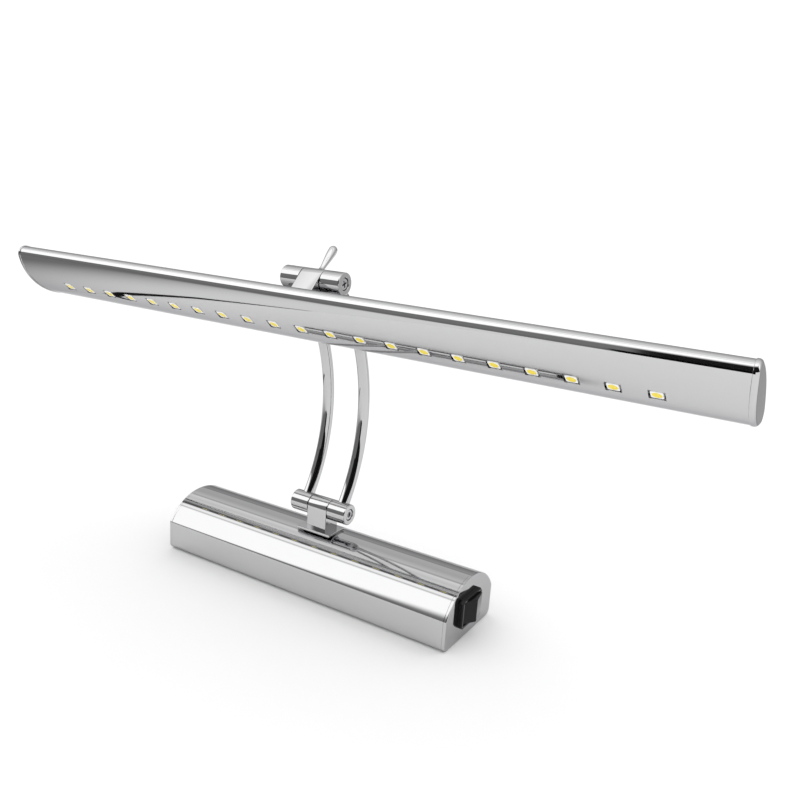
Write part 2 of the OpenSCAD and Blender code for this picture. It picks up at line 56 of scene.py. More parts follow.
class Bench:
    # Adds nodes to one tree
    def __init__(self, tree):
        self.tree = tree
        tree.nodes.clear()

    def node(self, kind, settings={}, inputs={}, out=0):
        made = self.tree.nodes.new(kind)
        for key, value in settings.items():
            if key == "stops":
                ramp = made.color_ramp.elements
                while len(ramp) < len(value):
                    ramp.new(0.5)
                for element, (place, grey) in zip(ramp, value):
                    element.position = place
                    element.color = (grey, grey, grey, 1)
            else:
                setattr(made, key, value)
        for key, value in inputs.items():
            if isinstance(value, Wire):
                self.tree.links.new(value.socket, made.inputs[key])
            else:
                made.inputs[key].default_value = value
        return Wire(self, made.outputs[out]) if len(made.outputs) else made

    def math(self, operation, a, b):
        return self.node("ShaderNodeMath", {"operation": operation}, {0: a, 1: b})

    def split(self, vector):
        made = self.tree.nodes.new("ShaderNodeSeparateXYZ")
        self.tree.links.new(vector.socket, made.inputs[0])
        return [Wire(self, socket) for socket in made.outputs]

    def step(self, value, low, high):
        # 0 below low, 1 above high and a smooth rise between
        return self.node("ShaderNodeMapRange", {"interpolation_type": "SMOOTHSTEP"},
                         {"Value": value, "From Min": low, "From Max": high})

    def mix(self, share, a, b):
        return self.node("ShaderNodeMix", {"data_type": "RGBA"}, {"Factor": share, 6: a, 7: b}, out=2)

    def noise(self, place, scale, detail=3, roughness=0.5):
        return self.node("ShaderNodeTexNoise", {}, {"Vector": place, "Scale": scale, "Detail": detail,
                                                    "Roughness": roughness})


def finish(name, shader, colour, roughness, spread=0.0, tint=0.0, grain=0, bump=0.0, bumpScale=0):
    # Every finish: its colour and roughness wander a little, and a fine bump breaks the gloss
    made = bpy.data.materials.new(name)
    made.use_nodes = True
    bench = Bench(made.node_tree)
    place = bench.node("ShaderNodeTexCoord", out="Object")
    cloud = bench.noise(place, grain, 4)
    dark = tuple(c * (1 - tint) for c in colour)
    inputs = {"Base Color": bench.mix(cloud, (*dark, 1), (*colour, 1)),
              "Roughness": roughness + (cloud - 0.5) * spread}
    if bump:
        height = bench.noise(place, bumpScale, 2)
        inputs["Normal"] = bench.node("ShaderNodeBump", {},
                                      {"Height": height, "Distance": bump * mm, "Strength": 1.0})
    body = bench.node("ShaderNodeBsdfPrincipled", {}, {**inputs, **shader})
    bench.node("ShaderNodeOutputMaterial", {}, {"Surface": body})
    return made


metal = {"Metallic": 1.0, "Specular Tint": (0.55, 0.55, 0.56, 1)}
plastic = {"Metallic": 0.0, "IOR": 1.5}
chrome = finish("chrome", metal, (0.555, 0.555, 0.56), 0.05, 0.03, 0.03, 60, 0.0006, 90)
tubeChrome = finish("tubeChrome", metal, (0.60, 0.60, 0.605), 0.06, 0.03, 0.03, 40, 0.0008, 60)
screwSteel = finish("screwSteel", metal, (0.56, 0.56, 0.57), 0.14, 0.08, 0.10, 300, 0.002, 900)
zincSteel = finish("zincSteel", metal, (0.55, 0.56, 0.58), 0.30, 0.12, 0.15, 220, 0.004, 700)
bareAluminium = finish("bareAluminium", metal, (0.68, 0.69, 0.71), 0.36, 0.12, 0.10, 180, 0.004, 900)
dimPlastic = {**plastic, "Specular IOR Level": 0.2}
blackPlastic = finish("blackPlastic", dimPlastic, (0.006, 0.006, 0.007), 0.14, 0.06, 0.20, 260, 0.002, 900)
whitePlastic = finish("whitePlastic", plastic, (0.82, 0.82, 0.80), 0.45, 0.10, 0.06, 200, 0.01, 1200)
ivoryPlastic = finish("ivoryPlastic", plastic, (0.78, 0.74, 0.62), 0.42, 0.10, 0.08, 200, 0.01, 1200)
whiteBoard = finish("whiteBoard", plastic, (0.86, 0.86, 0.84), 0.38, 0.10, 0.04, 300, 0.006, 1500)
greenBoard = finish("greenBoard", plastic, (0.03, 0.20, 0.08), 0.35, 0.12, 0.25, 300, 0.01, 1500)
brassContact = finish("brassContact", metal, (0.74, 0.57, 0.27), 0.25, 0.12, 0.15, 300, 0.004, 900)
leadCover = finish("leadCover", plastic, (0.80, 0.80, 0.78), 0.55, 0.10, 0.06, 300, 0.01, 900)
greyRubber = finish("greyRubber", plastic, (0.05, 0.05, 0.055), 0.62, 0.12, 0.20, 300, 0.02, 1400)
washerNylon = finish("washerNylon", plastic, (0.09, 0.09, 0.09), 0.50, 0.10, 0.10, 300, 0.01, 900)
ledBody = finish("ledBody", plastic, (0.90, 0.90, 0.88), 0.35, 0.10, 0.03, 700, 0.004, 2500)
ledPhosphor = finish("ledPhosphor", plastic, (0.93, 0.73, 0.02), 0.30, 0.14, 0.10, 900, 0.006, 2600)
print("finishes made")


# ---- shapes as arrays of points, in millimetres ----

def grid(points, closeRows=False, closeCols=False, flip=False):
    # Quads between neighbours of rows x columns of points
    if closeRows:
        points = np.concatenate([points, points[:1]])
    if closeCols:
        points = np.concatenate([points, points[:, :1]], axis=1)
    quads = np.stack([points[:-1, :-1], points[:-1, 1:], points[1:, 1:], points[1:, :-1]], axis=2)
    quads = quads.reshape(-1, 4, 3)
    return quads[:, ::-1] if flip else quads


def arc(cy, cz, r, start, end, count):
    # Points round (cy, cz) at radius r, from one angle in degrees to another
    a = np.radians(np.linspace(start, end, count))
    return np.stack([cy + r * np.cos(a), cz + r * np.sin(a)], axis=1)


def edge(a, b):
    # Two points just inside the ends of a straight edge, which keep its shading flat
    a, b = np.array(a, float), np.array(b, float)
    step = (b - a) / np.linalg.norm(b - a) * min(0.12, np.linalg.norm(b - a) / 3)
    return np.stack([a + step, b - step])


def loft(sections):
    # Sections are (x, outline in y-z), and each becomes a row
    return np.stack([np.column_stack([np.full(len(o), x), o]) for x, o in sections])


def spread(point, outline):
    # A row of one repeated point, which closes a loft to a fan
    return np.tile(np.array(point, float), (len(outline), 1))


def turned(points, origin, direction):
    # Moves (along, across, up) so that the first axis runs along direction in y-z, from origin
    c, s = np.cos(np.radians(direction)), np.sin(np.radians(direction))
    a, b, d = points[..., 0], points[..., 1], points[..., 2]
    return np.stack([origin[0] + b, origin[1] + a * c - d * s, origin[2] + a * s + d * c], axis=-1)


def lathe(profile, count=64, shape=None):
    # Profile rows (along, radius) turned round the first axis; shape may change the radius with the angle
    profile = np.array(profile, float)
    a = np.linspace(0, 2 * np.pi, count, endpoint=False)
    r = np.tile(profile[:, 1:2], (1, count)) if shape is None else shape(profile, a)
    return np.stack([np.tile(profile[:, :1], (1, count)), r * np.cos(a), r * np.sin(a)], axis=-1)


def makePiece(name, quads, body, material, stands, sharp=32):
    # Equal corners become one vertex, and a quad with two equal corners a triangle
    quads = np.concatenate(quads) if isinstance(quads, list) else quads
    flat = quads.reshape(-1, 3)
    keys = np.round(flat * 1e4).astype(np.int64)
    _, first, index = np.unique(keys, axis=0, return_index=True, return_inverse=True)
    corners = index.reshape(-1, 4)
    same = corners == np.roll(corners, -1, axis=1)
    whole = corners[same.sum(1) == 0]
    thin = same.sum(1) == 1
    thirds = corners[thin][~same[thin]].reshape(-1, 3)
    mesh = bpy.data.meshes.new(name)
    mesh.from_pydata((flat[first] * mm).tolist(), [], whole.tolist() + thirds.tolist())
    mesh.polygons.foreach_set("use_smooth", np.ones(len(mesh.polygons), bool))
    mesh.set_sharp_from_angle(angle=np.radians(sharp))
    mesh.materials.append(material)
    mesh.update()
    piece = bpy.data.objects.new(name, mesh)
    bpy.context.scene.collection.objects.link(piece)
    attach(piece, body)
    if stands:
        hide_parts(*stands)
    return piece


# ---- base ----

baseSet = {"length": 177.0, "width": 48.5, "wall": 16.2, "height": 30.1, "sheet": 1.2, "plate": 1.5,
           "corner": 3.5, "crease": 0.7, "lip": 5.2, "plug": 2.0, "seam": 0.10, "rim": 0.35}


def baseOutline(inset, k=baseSet):
    # Wall, rounded crease, dome, crease and wall, shrunk by inset, from the far lip to the near one
    half, rise = k["width"] / 2, k["height"] - k["wall"]
    domeR = (half * half + rise * rise) / (2 * rise)
    domeZ = k["height"] - domeR
    crease = max(k["crease"] - inset, 0.05)
    side, radius = half - inset - crease, domeR - inset - crease
    creaseZ = domeZ + np.sqrt(radius * radius - side * side)
    lean = np.degrees(np.arctan2(creaseZ - domeZ, side))
    round_ = k["corner"] - inset
    far = half - k["corner"]
    right = [np.array([[half - k["lip"], inset]]), edge((half - k["lip"], inset), (far, inset)),
             arc(far, k["corner"], round_, -90, 0, 12),
             edge((half - inset, k["corner"]), (half - inset, creaseZ)),
             arc(side, creaseZ, crease, 0, lean, 7)]
    dome = arc(0, domeZ, domeR - inset, lean, 180 - lean, 98)[1:-1]
    near = np.concatenate(right)
    return np.concatenate([near, dome, near[::-1] * [-1, 1]])


def coverQuads(k=baseSet):
    # The sheet's outside from left to right and its inside back again
    end = k["length"] / 2 - k["plate"] - 0.03
    outside = [(-end, baseOutline(0.12)), (-end + 0.12, baseOutline(0)), (-end + 0.4, baseOutline(0)),
               (end - 0.4, baseOutline(0)), (end - 0.12, baseOutline(0)), (end, baseOutline(0.12))]
    inside = [(x, baseOutline(k["sheet"])) for x, _ in outside[::-1]]
    rows = loft(outside + inside)
    n = len(outside)
    far, near = (np.stack([rows[:n, i], rows[::-1][:n, i]]) for i in (0, -1))
    lips = [grid(far), grid(near, flip=True)]
    return [grid(rows, closeRows=True)] + lips


def plateQuads(sign, hole, k=baseSet):
    # Rings from the inner face over the plug and the rim to the outer face, round a hole or to a point
    inner = k["length"] / 2 - k["plate"]
    outer = k["length"] / 2
    rim = k["rim"]
    wide, thin = baseOutline(k["sheet"] + 1.2), baseOutline(k["sheet"] + 0.02)
    if hole:
        cy, cz, hy, hz = hole
        ray = baseOutline(0.4) - [cy, cz]
        scale = np.minimum(hy / np.maximum(np.abs(ray[:, 0]), 1e-9), hz / np.maximum(np.abs(ray[:, 1]), 1e-9))
        middle = [cy, cz] + ray * scale[:, None]
    else:
        middle = spread([0, k["wall"] / 2], wide)
    turn = np.radians([18, 36, 54, 72, 90])
    tip, seam, whole = inner - k["plug"], k["seam"], baseOutline(0)
    rows = [(inner, middle), (inner, wide), (tip, wide), (tip, thin), (inner, thin),
            (inner, baseOutline(seam)), (inner + seam, whole), (inner + 0.3, whole),
            (outer - rim - 0.1, whole), (outer - rim, whole)]
    rows += [(outer - rim + rim * np.sin(a), baseOutline(rim * (1 - np.cos(a)))) for a in turn]
    rows += [(outer, baseOutline(rim + 0.15)), (outer, middle)]
    points = loft(rows)
    points[..., 0] *= sign
    return [grid(points, closeRows=bool(hole), closeCols=True, flip=sign < 0)]


switchSet = {"y": -2.2, "z": 14.8, "length": 20.0, "height": 15.0, "out": 2.4, "bodyLength": 18.8,
             "bodyHeight": 12.8, "depth": 17.0, "pitLength": 16.8, "pitHeight": 12.0, "pitDepth": 6.0,
             "slope": 0.25, "pivot": 1.2, "rockerR": 8.2, "ridge": 4.1, "low": 0.6, "rockerHeight": 11.6,
             "tilt": 9.0, "fit": 0.02}
switchHole = (switchSet["y"], switchSet["z"], switchSet["bodyLength"] / 2 + switchSet["fit"],
              switchSet["bodyHeight"] / 2 + switchSet["fit"])

makePiece("cover", coverQuads(), "base", chrome, ["base_cover"])
makePiece("leftEndPlate", plateQuads(-1, None), "base", chrome, ["left_end_plate"])
makePiece("rightEndPlate", plateQuads(1, switchHole), "base", chrome, ["right_end_plate"])
print("base made")


# ---- hinges ----

hingeSet = {"low": (-1.5, 42.2), "up": (-16.2, 161.7), "radius": 5.4, "half": 17.2, "knuckle": 12.0,
            "gap": 0.3, "bore": 1.52, "headR": 2.8, "headSeat": 3.0, "seatDepth": 2.8, "flush": 0.4,
            "washerSeat": 4.3, "washerSink": 0.6,
            "round": 0.45, "rodX": 11.3, "rodR": 2.95, "rodBow": 23.0, "rodEnd": 2.3}


def barrelQuads(sign, centre, k=hingeSet):
    # Profile round the wall: washer seat, bore, head seat, rounded end, outside and rounded inner end
    start, end, r = k["knuckle"] / 2 + k["gap"], k["half"], k["radius"]
    f = k["round"]
    bend = np.radians(np.linspace(0, 90, 6))
    rim = [(end - f + f * np.sin(a), r - f * (1 - np.cos(a))) for a in bend[::-1]]
    back = [(start + 0.2 - 0.2 * np.sin(a), r - 0.2 * (1 - np.cos(a))) for a in bend]
    sunk, seat, bore, wide = start + k["washerSink"], end - k["seatDepth"], k["bore"], k["headSeat"]
    profile = [(start, k["washerSeat"]), (sunk, k["washerSeat"]), (sunk, bore), (seat, bore), (seat, wide),
               (end - 0.15, wide), (end, wide + 0.15), (end, wide + 0.3), (end, r - f - 0.1)]
    profile += rim + [(end - f - 0.1, r), (start + 0.3, r)] + back
    points = lathe(profile, 72)
    return grid(points * [sign, 1, 1] + [0, *centre], closeRows=True, closeCols=True, flip=sign > 0)


def rodQuads(x, k=hingeSet):
    # A circle carried along the arc through both hinge axes, with slightly rounded ends
    low, up = np.array(k["low"]), np.array(k["up"])
    chord = np.linalg.norm(up - low)
    lean = np.arctan2(*(up - low)[::-1])
    radius = (chord * chord / 4 + k["rodBow"] ** 2) / (2 * k["rodBow"])
    centre = (low + up) / 2 + (k["rodBow"] - radius) * np.array([np.sin(lean), -np.cos(lean)])
    first, last = (np.arctan2(*(p - centre)[::-1]) for p in (low, up))
    skip = 2 * np.arcsin(k["rodEnd"] / (2 * radius))
    t = np.linspace(first + skip, last - skip, 120)
    a = np.linspace(0, 2 * np.pi, 48, endpoint=False)
    size = np.full(120, k["rodR"])
    size[[0, -1]] -= 0.3
    size = np.concatenate([[0], size, [0]])
    t = np.concatenate([t[:1], t, t[-1:]])[:, None]
    reach = radius + size[:, None] * np.cos(a)
    points = np.stack([x + size[:, None] * np.sin(a) + 0 * t, centre[0] + reach * np.cos(t),
                       centre[1] + reach * np.sin(t)], axis=-1)
    return grid(points, closeCols=True, flip=True)


def knuckleOutline(inset, reach, lift=0.0, k=hingeSet):
    # In its own plane: a half circle and two straight sides down to reach(across), less the lift
    r = k["radius"] - inset
    top = arc(0, 0, r, 0, 180, 41)
    across = np.linspace(-r, r, 21)
    bottom = np.stack([across, lift - reach(across)], axis=1)
    left, right = edge(top[-1], bottom[0]), edge(bottom[-1], top[0])
    return np.concatenate([top, left, bottom, right])


def knuckleQuads(centre, direction, reach, k=hingeSet):
    # The outline carried across the hinge, rounded at both sides, round the pivot's bore
    half, f = k["knuckle"] / 2, 0.4
    full = knuckleOutline(0, reach)
    ring = full / np.linalg.norm(full, axis=1)[:, None] * (k["bore"] + 0.04)
    turn = np.radians([90, 67, 45, 22, 0])
    side = [(half - f + f * np.sin(a), knuckleOutline(f * (1 - np.cos(a)), reach)) for a in turn[::-1]]
    right = side + [(half, knuckleOutline(f + 0.15, reach, 0.15)), (half, ring)]
    left = [(-x, o) for x, o in right[::-1]]
    rows = loft(left + right)
    c, s = np.cos(np.radians(direction - 90)), np.sin(np.radians(direction - 90))
    y = centre[0] + rows[..., 1] * c - rows[..., 2] * s
    z = centre[1] + rows[..., 1] * s + rows[..., 2] * c
    return grid(np.stack([rows[..., 0], y, z], axis=-1), closeRows=True, closeCols=True)


footSet = {"x": 10.5, "front": 8.0, "back": 6.0, "top": 31.4, "under": 30.12, "corner": 0.5, "round": 0.2,
           "pad": 8.0, "padBottom": 29.5, "padCorner": 1.0, "padRound": 0.1, "sunk": 0.3}


def slabQuads(x0, x1, y0, y1, z0, z1, corner, f):
    # A rounded rectangle carried upwards, with rounded upper and lower edges
    def ring(z, inset):
        r = max(corner - inset, 0.02)
        parts = []
        for cx, cy, a in ((x1, y1, 0), (x0, y1, 90), (x0, y0, 180), (x1, y0, 270)):
            sx, sy = (-1 if cx == x1 else 1), (-1 if cy == y1 else 1)
            parts.append(arc(cx + sx * (r + inset), cy + sy * (r + inset), r, a, a + 90, 7))
        whole = []
        for i, part in enumerate(parts):
            whole += [part, edge(part[-1], parts[(i + 1) % 4][0])]
        flat = np.concatenate(whole)
        return np.column_stack([flat, np.full(len(flat), z)])
    turn = np.radians([0, 30, 60, 90])
    low = [ring(z0 + f * (1 - np.sin(a)), f * (1 - np.cos(a))) for a in turn[::-1]]
    high = [ring(z1 - f * (1 - np.sin(a)), f * (1 - np.cos(a))) for a in turn]
    middle = [(x0 + x1) / 2, (y0 + y1) / 2]
    under, over = (spread([*middle, z], low[0]) for z in (z0, z1))
    return grid(np.stack([under, ring(z0, f + 0.1)] + low + high + [ring(z1, f + 0.1), over]), closeCols=True)


def footQuads(k=footSet, h=hingeSet):
    y, deep = h["low"][0], h["radius"] - 0.4
    plate = slabQuads(-k["x"], k["x"], y - k["front"], y + k["back"], k["under"], k["top"], k["corner"],
                      k["round"])
    pad = slabQuads(-k["pad"], k["pad"], y - deep, y + deep, k["padBottom"], k["under"] + k["sunk"],
                    k["padCorner"], k["padRound"])
    post = knuckleQuads(h["low"], 90, lambda across: 0 * across + h["low"][1] - k["top"] + k["sunk"])
    return [plate, pad, post]


makePiece("hingeFoot", footQuads(), "base", chrome, ["hinge_foot"])
for side, sign in (("left", -1), ("right", 1)):
    for level, centre in (("lower", hingeSet["low"]), ("upper", hingeSet["up"])):
        makePiece(f"{level}{side.title()}Barrel", barrelQuads(sign, centre), "arm", chrome,
                  [f"{level}_{side}_barrel"])
    makePiece(f"{side}Rod", rodQuads(sign * hingeSet["rodX"]), "arm", chrome,
              [f"{side}_rod"])
print("hinges made")


# ---- screws and nuts ----

def circleShape(profile, a):
    return np.tile(profile[:, 1:2], (1, len(a)))


def hexShape(profile, a, rows):
    # Rows in the given slice follow a hexagon whose half width is their radius
    r = circleShape(profile, a)
    turn = (a + np.pi / 6) % (np.pi / 3) - np.pi / 6
    r[rows] = profile[rows, 1:2] / np.cos(turn)
    return r


def crossShape(profile, a, rows, arm=0.42):
    # Rows in the given slice follow a cross: arms of half width arm and the row's radius as length
    r = circleShape(profile, a)
    turn = (a + np.pi / 4) % (np.pi / 2) - np.pi / 4
    for i in range(*rows.indices(len(profile))):
        reach = profile[i, 1]
        r[i] = np.minimum(reach / np.maximum(np.cos(turn), 1e-6),
                          arm / np.maximum(np.abs(np.sin(turn)), 1e-6))
    return r


def pivotQuads(centre, recess, k=hingeSet):
    # Shank, seat of the head, rounded rim, face and recess, from the nut's end to the head's
    out = k["half"] - k["flush"]
    seat = k["half"] - k["seatDepth"] + 0.02
    r = k["headR"]
    bend = np.radians([0, 30, 60, 90])
    profile = [(-out, 0), (-out, 1.2), (-out + 0.3, 1.5), (seat, 1.5), (seat, r)]
    profile += [(out - 0.3 + 0.3 * np.sin(a), r - 0.3 * (1 - np.cos(a))) for a in bend]
    profile += [(out, 2.3 if recess == "cross" else 2.2)]
    first = len(profile)
    profile += [(out, 1.75 if recess == "cross" else 1.45), (out - 1.2, 1.35), (out - 1.2, 0)]
    rows = slice(first, first + 2)
    kind = crossShape if recess == "cross" else hexShape
    points = lathe(profile, 96, lambda p, a: kind(p, a, rows))
    turn = np.radians(20 if recess == "cross" else 0)
    y = points[..., 1] * np.cos(turn) - points[..., 2] * np.sin(turn)
    z = points[..., 1] * np.sin(turn) + points[..., 2] * np.cos(turn)
    return grid(np.stack([points[..., 0], y + centre[0], z + centre[1]], axis=-1), closeCols=True)


def nutQuads(centre, k=hingeSet):
    # A hexagon with its corners taken off by a cone, round the shank's hole
    out, r, hole = k["half"] - k["flush"], (k["headR"] + 0.1) * np.cos(np.pi / 6), 1.55
    back = out - 2.4
    profile = np.array([(out, hole), (out, r - 0.05), (out, r), (out - 0.35, r), (back, r), (back, hole)])

    def shape(p, a):
        wide = hexShape(p, a, slice(2, 5))
        wide[2] = np.minimum(wide[2], r + 0.06)
        wide[4] = np.minimum(wide[4], r * 1.1547)
        return wide
    points = lathe(profile, 96, shape)
    return grid(points * [-1, 1, 1] + [0, *centre], closeRows=True, closeCols=True)


def panScrewQuads(tip, normal, shank, r, headR, headT):
    # Pan head with a cross recess; tip is the middle of the head's top and normal points out of it, in y-z
    end = -headT - shank
    profile = [(end, 0), (end, r * 0.7), (end + 0.4, r), (-headT, r), (-headT, headR)]
    bend = np.radians([0, 25, 50, 75])
    profile += [(-headT * 0.55 + headT * 0.55 * np.sin(a), headR - 0.5 * (1 - np.cos(a))) for a in bend]
    profile += [(0, headR - 0.6)]
    first = len(profile)
    profile += [(0, headR * 0.55), (-headT * 0.6, headR * 0.4), (-headT * 0.6, 0)]
    points = lathe(profile, 64, lambda p, a: crossShape(p, a, slice(first, first + 2), 0.33))
    return grid(turned(points, tip, normal), closeCols=True, flip=True)


for level, centre, recess in (("lower", hingeSet["low"], "hex"), ("upper", hingeSet["up"], "cross")):
    makePiece(f"{level}PivotScrew", pivotQuads(centre, recess), "arm", screwSteel,
              [f"{level}_pivot_screw"])
for level, centre in (("lower", hingeSet["low"]), ("upper", hingeSet["up"])):
    makePiece(f"{level}PivotNut", nutQuads(centre), "arm", screwSteel, [f"{level}_pivot_nut"])
screwTop = baseSet["width"] / 2 + 1.62
coverScrews = [panScrewQuads((x, screwTop, 8.0), 0, 5.0, 1.48, 2.6, 1.6) for x in (-60, 60)]
makePiece("coverScrews", coverScrews, "base", screwSteel, ["cover_screws"])
print("screws made")


# ---- head ----

tubeSet = {"y": -16.85, "z": 144.6, "tilt": 37.4, "lean": 6.8, "length": 397.0, "tip": 16.55, "tipR": 4.25,
           "front": 10.1, "back": 7.2, "wall": 1.1, "capOver": 0.3, "cap": 2.4, "plug": 3.0, "rim": 1.5,
           "ledRow": -3.5,
           "ledCount": 21, "ledPitch": 16.65, "windowX": 6.6, "windowU": 5.6, "ledTop": 9.75}


def tubeOutline(grow, k=tubeSet):
    # Two arcs that meet in rounded tips, grown by grow, counter-clockwise in the tube's own plane
    tip = k["tipR"]
    kf = (k["tip"] ** 2 - (k["front"] - tip) ** 2) / (2 * (k["front"] - tip))
    kb = (k["tip"] ** 2 - (k["back"] - tip) ** 2) / (2 * (k["back"] - tip))
    af, ab = (np.degrees(np.arctan2(k["tip"], v)) for v in (kf, kb))
    big = kf + k["front"] + grow
    cuts = [np.degrees(np.arcsin((k["ledRow"] + s * k["windowU"] / 2) / (kf + k["front"]))) for s in (1, -1)]
    front = np.concatenate([np.linspace(90 - af, 90 - cuts[0], 26),
                            np.linspace(90 - cuts[0], 90 - cuts[1], 7)[1:],
                            np.linspace(90 - cuts[1], 90 + af, 20)[1:]])
    a = np.radians(front)
    frontPoints = np.stack([big * np.cos(a), -kf + big * np.sin(a)], axis=1)
    parts = [arc(k["tip"], 0, tip + grow, ab - 90, 90 - af, 26), frontPoints[1:],
             arc(-k["tip"], 0, tip + grow, 90 + af, 270 - ab, 26)[1:],
             arc(0, kb, kb + k["back"] + grow, 270 - ab, 270 + ab, 50)[1:-1]]
    return np.concatenate(parts), (26 - 1 + 25, 26 - 1 + 25 + 6)


def placeHead(rows, k=tubeSet):
    # From (x, along the chord, out of the lit face) to the head's place
    c, s = np.cos(np.radians(k["tilt"])), np.sin(np.radians(k["tilt"]))
    u, v = rows[..., 1], rows[..., 2]
    return np.stack([rows[..., 0], k["y"] + u * c - v * s, k["z"] - u * s - v * c], axis=-1)


def tubeQuads(k=tubeSet):
    # The wall's outside and inside on one grid; cells in the windows are left out and their edges walled
    outer, (first, last) = tubeOutline(0)
    inner, _ = tubeOutline(-k["wall"])
    half = k["length"] / 2
    led = (np.arange(k["ledCount"]) - (k["ledCount"] - 1) / 2) * k["ledPitch"]
    stops = np.stack([led - k["windowX"] / 2, led + k["windowX"] / 2], axis=1).ravel()
    xs = np.concatenate([[-half, -half + 0.15], stops, [half - 0.15, half]])
    outerRows = loft([(x, outer) for x in xs])
    innerRows = loft([(x, inner) for x in xs])
    cells = np.ones((len(xs) - 1, len(outer)), bool)
    cells[2:-2:2, first:last] = False
    quads = []
    for rows, flip in ((outerRows, True), (innerRows, False)):
        whole = grid(placeHead(rows), closeCols=True, flip=flip)
        quads.append(whole[cells.ravel()])
    low, high = np.arange(2, len(xs) - 2, 2), np.arange(3, len(xs) - 2, 2)
    po, pi = placeHead(outerRows), placeHead(innerRows)
    span = slice(first, last + 1)
    for rows, flip in ((low, True), (high, False)):
        walls = np.stack([po[rows, span], pi[rows, span]], axis=1)
        quads += [grid(wall, flip=not flip) for wall in walls]
    for column, flip in ((first, False), (last, True)):
        walls = np.stack([np.stack([p[low, column], p[high, column]], 1) for p in (po, pi)], 1)
        quads += [grid(wall, flip=not flip) for wall in walls]
    for row, flip in ((0, False), (-1, True)):
        quads.append(grid(np.stack([po[row], pi[row]]), closeCols=True, flip=flip))
    return quads


def capQuads(sign, k=tubeSet):
    # Rings from the plug's floor over its wall and the seam to the rounded rim and the end face
    seam = k["length"] / 2 + 0.02
    end = seam + k["cap"]
    over, f = k["capOver"], k["rim"]
    turn = np.radians([0, 15, 30, 45, 60, 75, 90])
    tip, inner = seam - k["plug"], -k["wall"]
    sections = [(seam, inner - 1.2), (tip, inner - 1.2), (tip, inner - 0.2), (tip + 0.2, inner - 0.02),
                (seam, inner - 0.02), (seam, over - 0.15),
                (seam + 0.15, over), (seam + 0.25, over), (end - f - 0.08, over)]
    sections += [(end - f + f * np.sin(a), over - f * (1 - np.cos(a))) for a in turn]
    sections += [(end, over - f - 0.15)]
    rows = loft([(x, tubeOutline(grow)[0]) for x, grow in sections])
    ends = [spread([x, 0, 1.5], rows[0]) for x in (seam, end)]
    rows = np.concatenate([ends[0][None], rows, ends[1][None]])
    rows[..., 0] *= sign
    return grid(placeHead(rows), closeCols=True, flip=sign > 0)


def tubeReach(across, k=tubeSet, h=hingeSet):
    # Distance from the upper hinge down the knuckle's direction to the tube's back, for points across it
    tip = k["tipR"]
    kb = (k["tip"] ** 2 - (k["back"] - tip) ** 2) / (2 * (k["back"] - tip))
    middle = placeHead(np.array([0, 0, kb]))[1:]
    radius = kb + k["back"] + 0.02
    up = np.radians(90 - k["tilt"] - k["lean"])
    down, sideways = -np.array([np.cos(up), np.sin(up)]), np.array([np.sin(up), -np.cos(up)])
    start = np.array(h["up"]) + across[:, None] * sideways
    gap = start - middle
    b, c = gap @ down, (gap * gap).sum(1) - radius ** 2
    return -b - np.sqrt(b * b - c)


leverSet = {"length": 15.6, "tip": 2.15, "neck": 1.25, "collar": 2.3}


def leverQuads(k=leverSet, h=hingeSet, t=tubeSet):
    # Thread, flared collar, thin neck, a slow swelling and a round end, turned round the lever's axis
    start, top = h["radius"] - 0.5, h["radius"] + k["length"]
    rise = np.linspace(0, 1, 20)
    neckAt, ballAt = start + 2.4, top - k["tip"] * 1.15
    narrow, grow, run = k["collar"] - k["neck"], k["tip"] - k["neck"], ballAt - neckAt
    flare = [(start + 0.3 + 2.1 * s, k["collar"] - narrow * (1 - (1 - s) ** 2.6)) for s in rise]
    swell = [(neckAt + run * s, k["neck"] + grow * (3 * s ** 2 - 2 * s ** 3) ** 0.8) for s in rise[1:]]
    bend = np.radians(np.linspace(0, 90, 14)[1:])
    ball = [(ballAt + (top - ballAt) * np.sin(a), k["tip"] * np.cos(a)) for a in bend]
    profile = [(3.3, 0), (3.3, 1.0), (3.5, 1.19), (start, 1.19), (start, k["collar"])] + flare + swell + ball
    lever = turned(lathe(profile, 48), (0, *h["up"]), 90 - t["tilt"] - t["lean"])
    return grid(lever, closeCols=True, flip=True)


ledSet = {"size": 5.0, "height": 1.6, "cavity": 2.05, "floor": 0.3, "notch": 0.25}


def ledQuads(x, k=ledSet, t=tubeSet):
    # Square body with cut corners and a round cavity, and the filling that closes the cavity
    a = np.linspace(0, 2 * np.pi, 32, endpoint=False) + np.pi / 4
    half = k["size"] / 2
    square = half / np.maximum(np.abs(np.cos(a)), np.abs(np.sin(a)))
    square = np.minimum(square, half * 1.4142 - k["notch"])
    top, low = t["ledTop"], t["ledTop"] - k["height"] + 0.02

    def ring(r, v):
        return np.stack([x + r * np.cos(a), t["ledRow"] + r * np.sin(a), v + 0 * a], axis=1)
    body = [ring(0 * a, low), ring(square, low), ring(square, top - 0.06), ring(square - 0.06, top),
            ring(k["cavity"] + 0 * a, top), ring(k["cavity"] - 0.12 + 0 * a, top - k["floor"]),
            ring(0 * a, top - k["floor"])]
    r = np.linspace(k["cavity"] - 0.06, 0, 6)
    fill = [ring(0 * a, top - k["floor"] + 0.02), ring(k["cavity"] - 0.14 + 0 * a, top - k["floor"] + 0.02)]
    fill += [ring(q + 0 * a, top - 0.05 - 0.07 * (1 - (q / k["cavity"]) ** 2)) for q in r]
    return (grid(placeHead(np.stack(body)), closeCols=True, flip=True),
            grid(placeHead(np.stack(fill)), closeCols=True, flip=True))


